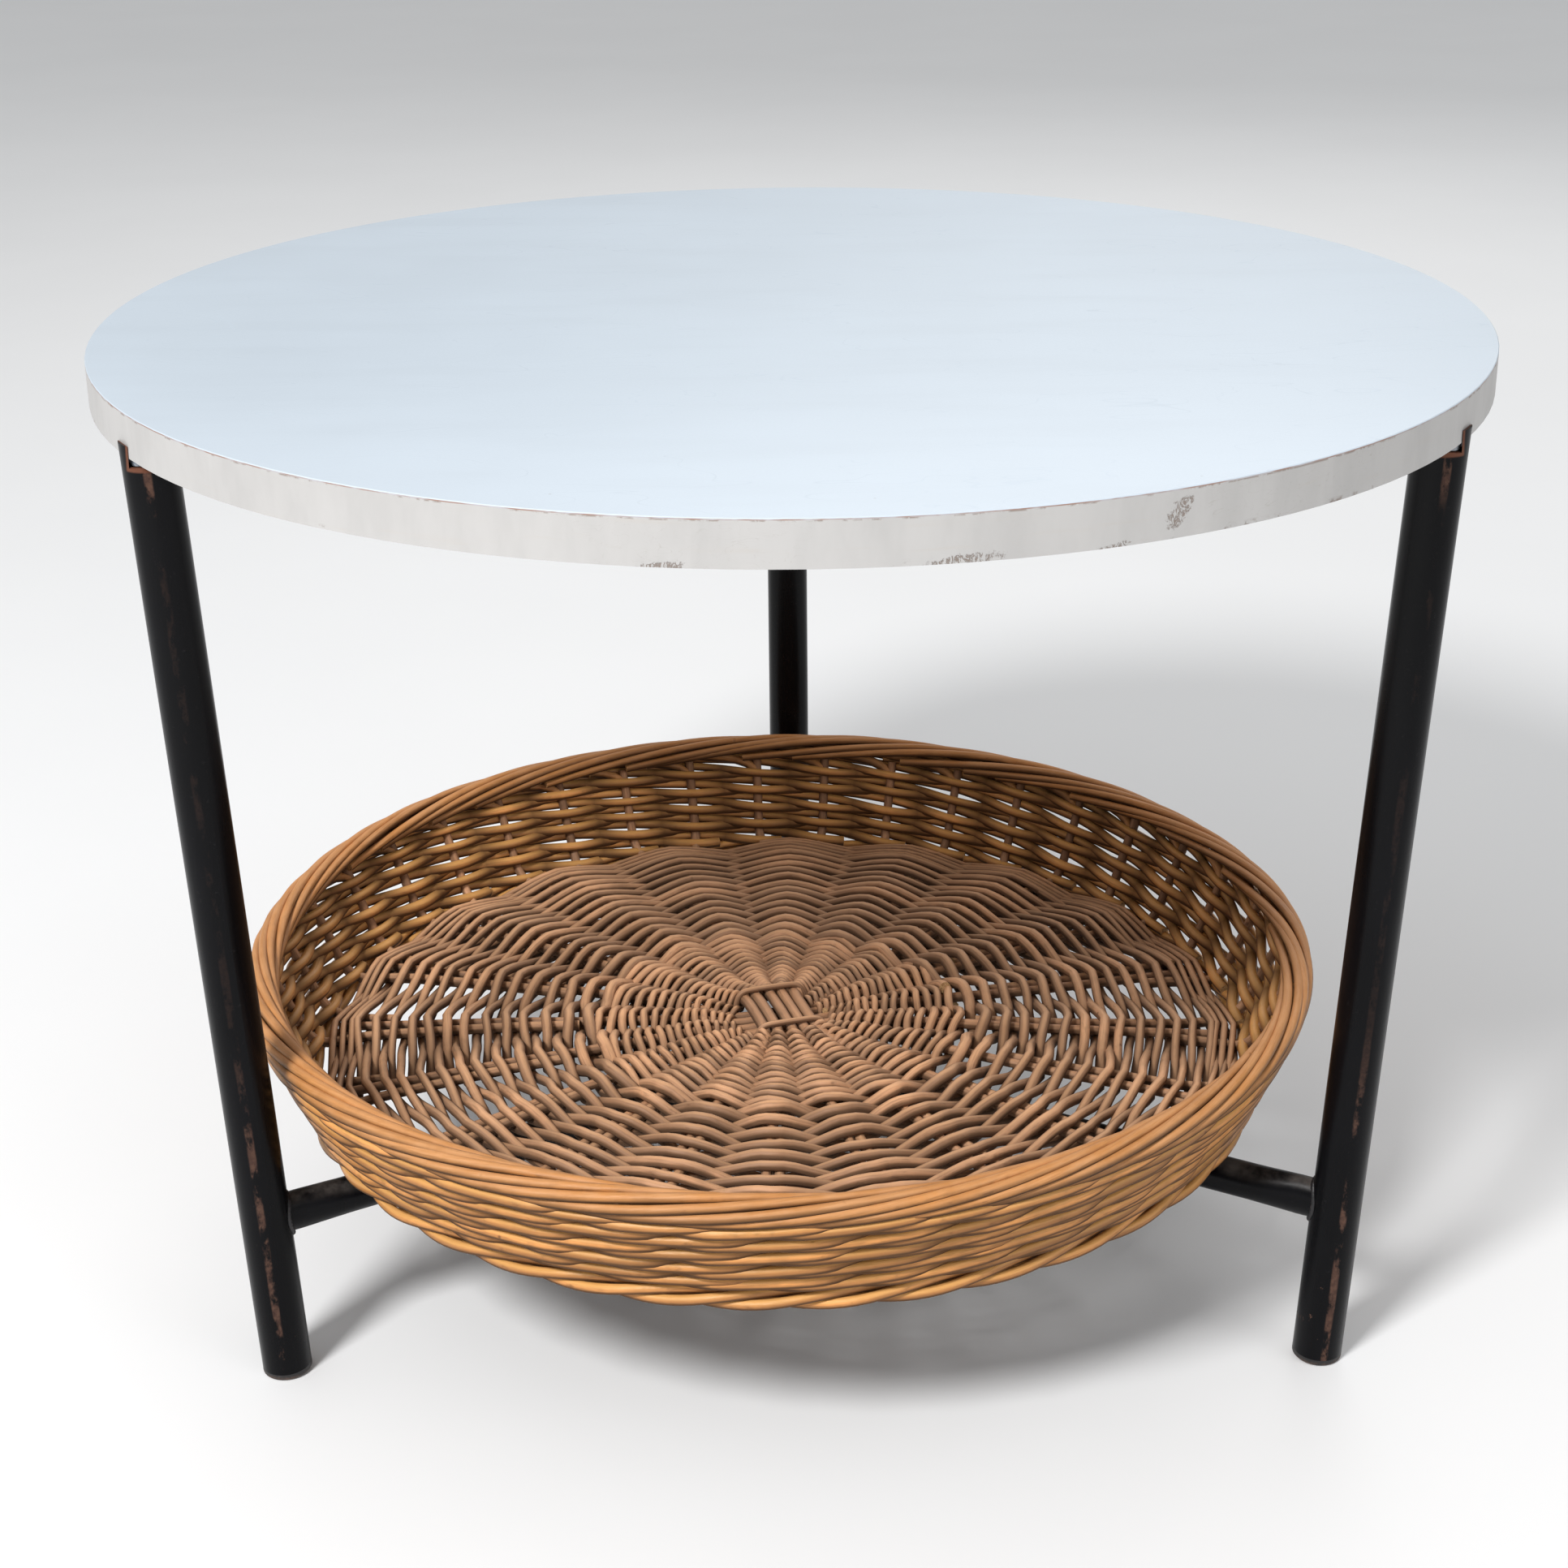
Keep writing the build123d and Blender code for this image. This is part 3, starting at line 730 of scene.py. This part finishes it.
def spiral_rods(first, last, pitch, thick, core, twist, seed, rod_length, fine=8):
    """Two weavers that spiral outwards together, one over each spoke that the other goes under.
    Pitch and half thickness go evenly from their first value to their second, so the radius is
    first + pitch / rate * (e to the (rate * rounds) - 1), and between two spokes the rods run
    nearly straight. The height is that of the spokes + (core + half thickness) * wave(ten times
    the angle), and twist is a sine of the same, sideways. Each weaver is a run of rods, joined
    under a spoke, thicker at the butt than at the tip, with fine points from spoke to spoke."""
    chance = np.random.default_rng(seed)
    rods = []
    rate = (pitch[1] - pitch[0]) / (last - first)
    rounds = math.log(pitch[1] / pitch[0]) / rate
    for strand in range(2):
        count = int(rounds * SPOKES * fine)
        turned = np.arange(count) * SPOKE_STEP / fine
        angle = CROSS_TURN + turned
        spoke_phase = turned * SPOKES / 2 + strand * math.pi
        grown = pitch[0] / rate * (np.exp(rate * turned / (2 * math.pi)) - 1)
        share = grown / (last - first)
        half = thick[0] + (thick[1] - thick[0]) * share
        middle = first + grown
        if not twist:
            middle = middle + strand * (pitch[0] + (pitch[1] - pitch[0]) * share) / 2
        to_gap = turned % SPOKE_STEP - SPOKE_STEP / 2
        chord = math.cos(SPOKE_STEP / 2) / np.cos(to_gap)
        radius = middle * chord + twist * half * np.sin(spoke_phase)
        radius = radius + 0.7 * ripple(angle, middle, 5)
        radius = radius + 0.6 * half * ripple(angle * 3, middle * 5, seed)
        lift = wave(spoke_phase)
        height = base_height(radius, angle) + (core + half) * lift
        height = height + 0.5 * ripple(angle, middle * 3, seed + strand)
        path = polar(radius, angle, height)
        reach = np.append(0, np.cumsum(np.linalg.norm(np.diff(path, axis=0), axis=1)))
        under = np.flatnonzero(np.cos(spoke_phase) < -0.999)
        begin = 0
        while begin < count - fine * 3:
            wanted = reach[begin] + rod_length * chance.uniform(0.8, 1.2)
            later = under[(reach[under] > wanted) & (under < count - fine * 4)]
            end = later[0] if len(later) else count - 1
            span = np.linspace(0, 1, end - begin + 1)
            part = slice(begin, end + 1)
            size = half[part] * chance.uniform(0.94, 1.07) * (1.06 - 0.16 * span**1.5)
            # the last number is how deep the rod lies under a spoke, which the finish turns into
            # painted shade
            rods.append((path[part], size, (0, 0, 1), 0.5 - 0.5 * lift[part]))
            begin = end if end < count - 1 else count
    return rods


def stake_rods(sizes):
    """Side stakes: laid beside the base sticks, bent up at the base's edge and leaning outwards
    to the border. Every other stake reaches far into the base, the rest only a little way. In the
    base, a stake's angle is its spoke's + the distance it is held aside / radius."""
    rods = []
    chance = np.random.default_rng(23)
    thick = sizes.stake_diameter * HALF_MM
    for index in range(STAKES):
        spoke = CROSS_TURN + (index // 2 + (index % 2)) * SPOKE_STEP
        upright = CROSS_TURN + (index + 0.5) * STAKE_STEP
        side = 1 if upright > spoke else -1
        far = side > 0
        inner = chance.uniform(94, 116) if far else chance.uniform(186, 194)
        out = np.linspace(inner, BASE_RADIUS - 1, 14 if far else 7)
        held = (2.9 if far else 8.4) + (4.0 if far else 0.5) * (1 - fade(out, 125, 205))
        rest = UPSETT_RADIUS * math.sin(STAKE_STEP / 2)
        held = held + (rest - held) * np.clip((out - 190) / 34, 0, 1) ** 2
        angle = spoke + side * held / out
        base_part = polar(out, angle, base_height(out))
        lean = np.linspace(0, 1, 4)
        wall = polar(
            UPSETT_RADIUS + 1 + (BORDER_RADIUS - UPSETT_RADIUS - 1) * lean, upright,
            WALL_BOTTOM + 1 + (WALL_TOP - WALL_BOTTOM) * lean,
        )
        path = softened(resampled(np.concatenate([base_part, wall]), 3), 5)
        # the rod's own up stays clear of its direction, both in the base and in the side
        facing = np.array([-math.cos(upright), -math.sin(upright), 1.2])
        size = thick * chance.uniform(0.92, 1.04) * np.linspace(1.0, 0.9, len(path))
        # how deep the stake lies in the base, which the finish turns into painted shade
        deep = 0.5 * fade(path[:, 2], WALL_BOTTOM - 2, WALL_BOTTOM + 4)
        rods.append((path, size, facing, deep))
    return rods


def upsett_rods():
    """Three rods twisted round the corner of the tray, as one line that goes round three times:
    the middle radius + cosine, and the middle height + sine, of a third of the stakes' number
    times the angle."""
    half = 2.35
    rods = []
    laps = 6 * math.pi
    cuts = np.linspace(0.35, laps + 0.35, 4)
    for begin, end in zip(cuts[:-1], cuts[1:]):
        angle = np.linspace(begin, end, 281)
        phase = angle * STAKES / 3
        radius = UPSETT_RADIUS + 3.1 * np.cos(phase) + 0.3 * ripple(angle, 0, 3)
        height = TRAY_BOTTOM + 5.6 + 2.9 * np.sin(phase)
        rods.append((polar(radius, angle, height), half, (0, 0, 1)))
    return rods


def side_rods(sizes):
    """Side weavers: forty rods, each starting inside its own stake, then going outside two stakes
    and inside the third, while it climbs evenly. Its radius is the leaning wall's + reach *
    (2 * ease - 1), where ease goes from 0 inside a stake to 1 at the next one and stays there. The
    tip is tucked in under the border and grows thin."""
    rods = []
    chance = np.random.default_rng(31)
    butt = sizes.side_diameter * HALF_MM
    rise = sizes.side_rise * 1000
    steps = (WALL_TOP - WALL_BOTTOM + 1.5) / rise
    for index in range(STAKES):
        begin = CROSS_TURN + (index + 0.5) * STAKE_STEP
        passed = np.arange(-0.35, steps + chance.uniform(-0.2, 0.4), 1 / 8)
        angle = begin + passed * STAKE_STEP
        height = WALL_BOTTOM + 0.4 + passed * rise + 0.5 * ripple(angle, 0, 41)
        height = height + chance.uniform(-0.5, 0.5) + 0.5 * np.sin(passed * 1.7 + index)
        size = butt * chance.uniform(0.9, 1.08) * (1 - 0.12 * np.linspace(0, 1, len(passed)))
        apart = np.clip(np.abs((passed + 1.5) % 3 - 1.5), 0, 1)
        swing = 2 * apart * apart * (3 - 2 * apart) - 1
        reach = 0.5 + size * chance.uniform(0.85, 1.1)
        tucked = np.clip(1 - (passed[-1] - passed) / 0.8, 0, 1) ** 2
        size = size * (1 - 0.45 * tucked)
        radius = UPSETT_RADIUS + SIDE_LEAN * (height - WALL_BOTTOM) + reach * swing - 1.6 * tucked
        # 1 - |swing| is how deep the rod lies between stakes, which the finish turns into painted
        # shade
        rods.append((polar(radius, angle, height), size, (0, 0, 1), 1 - np.abs(swing)))
    return rods


def border_rods(sizes):
    """Border rods: each stake's top bends over and winds round the rim's middle line, from below
    it to the outside, over the top and down the inside, where it is cut off:
    rim radius + reach * cos(roll), rim height + reach * sin(roll)."""
    rods = []
    chance = np.random.default_rng(47)
    thick = sizes.border_diameter * HALF_MM
    for index in range(STAKES):
        begin = CROSS_TURN + (index + 0.5) * STAKE_STEP
        length = STAKE_STEP * (7.2 + chance.uniform(-0.4, 0.5))
        share = np.linspace(0, 1, 44)
        angle = begin + length * share
        roll = np.radians(-100 + 322 * share ** 0.95)
        reach = 5.4 + 0.25 * np.sin(share * 9 + index) + 0.6 * share ** 6
        radius = BORDER_RADIUS + reach * np.cos(roll) - 0.3
        height = BORDER_MIDDLE - 0.2 + reach * 0.97 * np.sin(roll)
        winding = polar(radius, angle, height)
        drop = np.array([-7.0, -4.0, -1.5])
        stem = polar(BORDER_RADIUS + SIDE_LEAN * (drop - 1), begin, WALL_TOP + drop)
        path = softened(np.concatenate([stem, winding[2:]]), 3)
        size = thick * chance.uniform(0.93, 1.05) * np.linspace(1.02, 0.86, len(path))
        core = polar(BORDER_RADIUS, np.append([begin] * 3, angle[2:]), BORDER_MIDDLE)
        facing = path - core + np.array([0, 0, 0.01])
        facing[:5] = facing[5]
        rods.append((path, size, facing))
    return rods


def weld_rods():
    """A bead round each arm's flared end, where it meets its leg: an oval laid on the leg's
    cylinder, so its distance is the leg's axis less root(leg radius squared - aside squared).
    Its thickness is a mean + two sine waves, the ripples of a weld."""
    rods = []
    height = (ARM_LOW.z + ARM_HIGH.z) / 2
    half_height = (ARM_HIGH.z - ARM_LOW.z) / 2
    foot = (CAP_HIGH.y + CAP_LOW.y) / 2
    for turn in (90, 210, 330):
        way = math.radians(turn)
        t = np.linspace(0, 2 * math.pi * 1.01, 90)
        aside = (ARM_HALF_WIDTH + 0.5) * np.cos(t)
        up = (half_height + 0.5) * np.sin(t)
        axis = foot + (height + up) * LEG_SLOPE
        out = axis - np.sqrt(LEG_RADIUS ** 2 - aside ** 2) + 0.1
        path = np.stack([out * math.cos(way) - aside * math.sin(way),
                         out * math.sin(way) + aside * math.cos(way), height + up], -1)
        size = 1.35 + 0.14 * np.sin(t * 34) + 0.1 * np.sin(t * 5 + turn)
        rods.append((path, size, (-math.cos(way), -math.sin(way), 0)))
    return rods


# ---- operators -------------------------------------------------------------------------
class Table:
    """What every operator of the table shares."""

    bl_options = {"REGISTER"}

    @property
    def sizes(self):
        return bpy.context.scene.tray_sizes

    @property
    def colours(self):
        return bpy.context.scene.table_colours

    @staticmethod
    def finish_nodes(material, *names):
        """Puts a finish on CAD nodes."""
        for name in names:
            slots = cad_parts[name].material_slots
            if not len(slots):
                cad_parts[name].data.materials.append(material)
            for each in slots:
                each.material = material


class TABLE_OT_top(Table, bpy.types.Operator):
    """Finish the laminate, the edge band, the board and its backing"""

    bl_idname = "table.top"
    bl_label = "Table top"

    def execute(self, context):
        self.finish_nodes(laminate_finish(self.colours), "top_laminate")
        self.finish_nodes(band_finish(self.colours), "edge_band")
        self.finish_nodes(chipboard_finish(), "top_board")
        self.finish_nodes(backing_finish(), "underside_backing")
        return {"FINISHED"}


class TABLE_OT_legs(Table, bpy.types.Operator):
    """Finish the legs and their foot caps"""

    bl_idname = "table.legs"
    bl_label = "Legs"

    def execute(self, context):
        # the front legs carry the stripe of worn paint and painted reflection
        front = black_finish("leg_paint_front", self.colours, rub_and_sheen=1.0, dust=0.1)
        rear = black_finish("leg_paint_rear", self.colours, rub_and_sheen=0.1, dust=0.1)
        self.finish_nodes(front, "leg_left", "leg_right")
        self.finish_nodes(rear, "leg_rear")
        self.finish_nodes(cap_finish(), "foot_cap_rear", "foot_cap_left", "foot_cap_right")
        return {"FINISHED"}


class TABLE_OT_stretcher(Table, bpy.types.Operator):
    """Finish the stretcher's arms and add the weld beads at the legs"""

    bl_idname = "table.stretcher"
    bl_label = "Stretcher and welds"

    def execute(self, context):
        arm = black_finish("stretcher_paint", self.colours, rub_and_sheen=0.0, dust=0.45)
        self.finish_nodes(arm, "stretcher_rear", "stretcher_left", "stretcher_right")
        rod_piece("weld_beads", weld_rods(), "table_frame", weld_finish(), 3,
                  sides=8, cut_ends=False)
        return {"FINISHED"}


class TABLE_OT_fixings(Table, bpy.types.Operator):
    """Finish the tabs and screws under the top"""

    bl_idname = "table.fixings"
    bl_label = "Tabs and screws"

    def execute(self, context):
        tab = steel_finish("tab_steel", paint(120, 132, 148), paint(158, 162, 166))
        self.finish_nodes(tab, "mounting_tab_rear", "mounting_tab_left", "mounting_tab_right")
        screw = steel_finish("screw_steel", paint(168, 166, 158), paint(190, 186, 176))
        self.finish_nodes(screw, "tab_screws")
        return {"FINISHED"}


class TABLE_OT_base(Table, bpy.types.Operator):
    """Make the tray's base: cross of sticks, ties, pairing, randing and the edge rows"""

    bl_idname = "table.base"
    bl_label = "Tray base"

    def execute(self, context):
        dusty = willow_finish("willow_sticks", shade(self.colours.dusty_willow, 0.72), dusty=0.35,
                              gloss=0.45)
        sticks = rod_piece("base_cross", stick_rods(self.sizes), "tray", dusty, 1,
                           sides=10)
        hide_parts("base_sticks")
        woven = willow_finish("willow_base", self.colours.dusty_willow, dusty=0.4, gloss=0.4)
        fine, thick = (np.array(v) * HALF_MM for v in (
            self.sizes.pairing_diameters, self.sizes.weaver_diameters))
        close, wide = (np.array(v) * 1000 for v in (
            self.sizes.pairing_pitches, self.sizes.weaver_pitches))
        stick = self.sizes.stick_diameter * HALF_MM
        # radii, pitches, half thicknesses, core, twist, seed and length of a rod
        pairing = spiral_rods(*PAIRING, close, fine, stick - 0.4, 0.6, 3, 900)
        edge = spiral_rods(*EDGE_ROWS, (4.6, 3.8), (1.8, 1.6), 2.6, 0.6, 9, 1100)
        rows = spiral_rods(*RANDING, wide, thick, 2.7, 0, 7, 1350, fine=9)
        fine_rows = rod_piece("base_pairing", tie_rods(self.sizes) + pairing + edge, "tray",
                              woven, 2)
        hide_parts("base_weave")
        rod_piece("base_randing", rows, "tray", woven, 5, sides=9)
        return {"FINISHED"}


class TABLE_OT_side(Table, bpy.types.Operator):
    """Make the tray's side: stakes, upsett and side weavers"""

    bl_idname = "table.side"
    bl_label = "Tray side"

    def execute(self, context):
        golden = willow_finish("willow_side", self.colours.golden_willow, dusty=0.2, gloss=0.27,
                               lying=False)
        stakes = rod_piece("bent_stakes", stake_rods(self.sizes), "tray",
                           willow_finish("willow_stakes", self.colours.dusty_willow, dusty=0.5), 4)
        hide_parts("side_stakes")
        upsett = rod_piece("upsett_wale", upsett_rods(), "tray", golden, 6,
                           cut_ends=False)
        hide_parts("upsett_ring")
        side = rod_piece("side_randing", side_rods(self.sizes), "tray", golden, 8)
        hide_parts("side_weave")
        return {"FINISHED"}


class TABLE_OT_border(Table, bpy.types.Operator):
    """Make the rolled border from the stakes' tops"""

    bl_idname = "table.border"
    bl_label = "Tray border"

    def execute(self, context):
        rim = willow_finish("willow_border", shade(self.colours.golden_willow, 0.6), dusty=0.8,
                            gloss=0.34, dust=(192, 158, 126), lying=False)
        border = rod_piece("border_rods", border_rods(self.sizes), "tray", rim,
                           12)
        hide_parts("rolled_border")
        return {"FINISHED"}


class TABLE_OT_studio(Table, bpy.types.Operator):
    """Set the pale floor, the soft lights and the camera"""

    bl_idname = "table.studio"
    bl_label = "Studio"

    def execute(self, context):
        scene = context.scene
        mesh = bpy.data.meshes.new("floor")
        half = 30.0
        mesh.from_pydata(
            [(-half, -half, 0), (half, -half, 0), (half, half, 0), (-half, half, 0)], [],
            [(0, 1, 2, 3)])
        floor = bpy.data.objects.new("floor", mesh)
        scene.collection.objects.link(floor)
        f = Finish("studio_floor")
        cloud = f.noise(f.place(), 3, 3, 0.5)
        pale = self.colours.floor
        colour = f.mix(f.step(cloud, 0.3, 0.7), pale, shade(pale, 0.985))
        mesh.materials.append(f.surface(base_color=colour, roughness=0.8, specular_ior_level=0.1))

        world = bpy.data.worlds.new("studio_sky")
        world.use_nodes = True
        sky = world.node_tree.nodes["Background"].inputs
        sky["Color"].default_value = (0.97, 0.985, 1, 1)
        sky["Strength"].default_value = 0.52
        scene.world = world
        # name, place, aim, size, watts
        for name, place, aim, size, power in (
            ("key", (-1.3, -1.9, 2.3), (0, 0, 0.2), 0.7, 84),
            ("fill", (2.2, -1.6, 1.2), (0, 0, 0.2), 2.0, 12),
            ("back", (0.6, 2.4, 2.0), (0, 0, 0.3), 2.0, 14),
        ):
            lamp = bpy.data.lights.new(name, "AREA")
            lamp.shape = "DISK"
            lamp.size = size
            lamp.energy = power
            light = bpy.data.objects.new(name, lamp)
            scene.collection.objects.link(light)
            light.location = place
            toward = Vector(aim) - Vector(place)
            light.rotation_euler = toward.to_track_quat("-Z", "Y").to_euler()

        lens = bpy.data.cameras.new("camera")
        lens.sensor_width = 36
        lens.lens = 61.76
        lens.clip_end = 100
        camera = bpy.data.objects.new("camera", lens)
        scene.collection.objects.link(camera)
        stand = Vector((-0.01286, -1.16099, 0.71654))
        pitch, yaw, roll = 0.39864, 0.00676, -0.010
        forward = Vector((math.sin(yaw) * math.cos(pitch), math.cos(yaw) * math.cos(pitch),
                          -math.sin(pitch)))
        level = Vector((math.cos(yaw), -math.sin(yaw), 0))
        upward = level.cross(forward)
        right = level * math.cos(roll) + upward * math.sin(roll)
        top = upward * math.cos(roll) - level * math.sin(roll)
        turn = Matrix((right, top, -forward)).transposed()
        camera.matrix_world = Matrix.Translation(stand) @ turn.to_4x4()
        scene.camera = camera
        scene.view_settings.view_transform = "Standard"
        return {"FINISHED"}


class TABLE_PT_panel(bpy.types.Panel):
    """The table's sizes, colours and pieces"""

    bl_idname = "TABLE_PT_panel"
    bl_label = "Coffee table"
    bl_space_type = "VIEW_3D"
    bl_region_type = "UI"
    bl_category = "Table"

    def draw(self, context):
        for group in (context.scene.tray_sizes, context.scene.table_colours):
            box = self.layout.box()
            for name in group.bl_rna.properties.keys():
                if name not in ("rna_type", "name"):
                    box.prop(group, name)
        for operator in OPERATORS:
            self.layout.operator(operator.bl_idname)


OPERATORS = (
    TABLE_OT_top, TABLE_OT_legs, TABLE_OT_stretcher, TABLE_OT_fixings, TABLE_OT_base,
    TABLE_OT_side, TABLE_OT_border, TABLE_OT_studio,
)
CLASSES = (TraySizes, TableColours, *OPERATORS, TABLE_PT_panel)


def register():
    for each in CLASSES:
        bpy.utils.register_class(each)
    bpy.types.Scene.tray_sizes = bpy.props.PointerProperty(type=TraySizes)
    bpy.types.Scene.table_colours = bpy.props.PointerProperty(type=TableColours)


def unregister():
    del bpy.types.Scene.table_colours
    del bpy.types.Scene.tray_sizes
    for each in reversed(CLASSES):
        bpy.utils.unregister_class(each)


def main():
    """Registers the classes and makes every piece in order."""
    register()
    for operator in OPERATORS:
        group, name = operator.bl_idname.split(".")
        getattr(getattr(bpy.ops, group), name)()
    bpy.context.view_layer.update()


if __name__ == "__main__":
    main()
